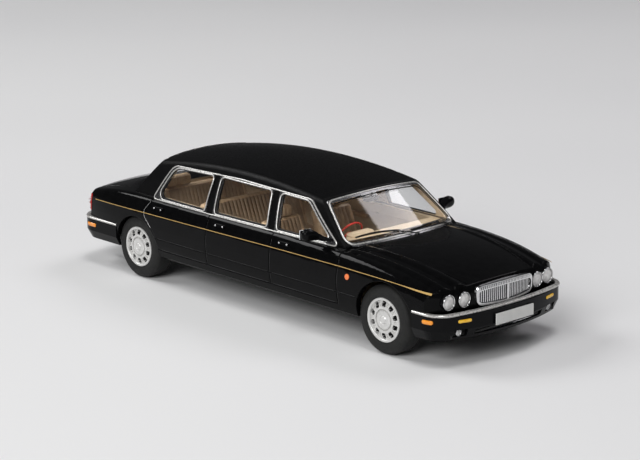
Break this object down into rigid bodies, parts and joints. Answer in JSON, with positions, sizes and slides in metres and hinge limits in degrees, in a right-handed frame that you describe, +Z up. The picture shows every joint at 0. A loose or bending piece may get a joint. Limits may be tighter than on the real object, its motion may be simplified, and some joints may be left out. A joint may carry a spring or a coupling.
{
  "type": "scale model stretch limousine",
  "caption": "Scale model of a six-door stretch limousine: body shell on a base plate, glazed cabin with seats, bright trim and wheels that roll on two axles.",
  "frame": {"origin": "on the ground, under the middle of the model's length and width", "axes": "+X to the car's front, +Y to its left, +Z up"},
  "size_m": [0.1333, 0.0482, 0.0332],
  "materials": {
    "gloss_black": "high gloss black paint",
    "chassis_black": "satin black moulding",
    "beige_trim": "satin moulded beige",
    "tan_seats": "satin moulded tan with pleats",
    "red_plastic": "gloss",
    "black_plastic": "satin",
    "clear_glass": "clear pane",
    "chrome": "bright plated",
    "amber_lens": "clear amber",
    "red_lens": "clear red",
    "orange_lens": "clear orange red",
    "plate_white": "blank white plate",
    "mirror_glass": "mirror",
    "steel": "drawn steel",
    "wheel_silver": "silver paint",
    "black_tyre": "plain black rubber"
  },
  "bodies": {
    "root": {"body_shell": "gloss_black", "base_plate": "chassis_black", "cabin_tub": "beige_trim", "dashboard": "beige_trim", "steering_wheel": "red_plastic", "front_seats": "tan_seats", "middle_bench": "tan_seats", "rear_bench": "tan_seats", "interior_mirror": "black_plastic", "windscreen_glass": "clear_glass", "rear_screen_glass": "clear_glass", "side_glass_right": "clear_glass", "side_glass_left": "clear_glass", "window_frames_right": "chrome", "window_frames_left": "chrome", "windscreen_trim": "chrome", "rear_screen_trim": "chrome", "grille_frame": "chrome", "grille_slats": "chrome", "headlamp_bowls": "chrome", "headlamp_lenses": "clear_glass", "front_bumper": "gloss_black", "front_bumper_blade": "chrome", "front_markers": "amber_lens", "rear_bumper": "gloss_black", "rear_bumper_blade": "chrome", "rear_markers": "amber_lens", "tail_lamps": "red_lens", "wing_repeaters": "orange_lens", "number_plates": "plate_white", "door_handles": "chrome", "door_mirrors": "gloss_black", "mirror_glasses": "mirror_glass", "wipers": "black_plastic", "exhaust_tips": "chrome"},
    "front_wheelset": {"front_axle": "steel", "front_wheels": "wheel_silver", "front_tyres": "black_tyre"},
    "rear_wheelset": {"rear_axle": "steel", "rear_wheels": "wheel_silver", "rear_tyres": "black_tyre"}
  },
  "joints": [
    {"name": "front_wheels_spin", "type": "hinge", "parent": "root", "child": "front_wheelset", "pos_m": [0.04625, 0, 0.00786], "axis": [0, 1, 0], "continuous": true},
    {"name": "rear_wheels_spin", "type": "hinge", "parent": "root", "child": "rear_wheelset", "pos_m": [-0.04055, 0, 0.00786], "axis": [0, 1, 0], "continuous": true}
  ]
}
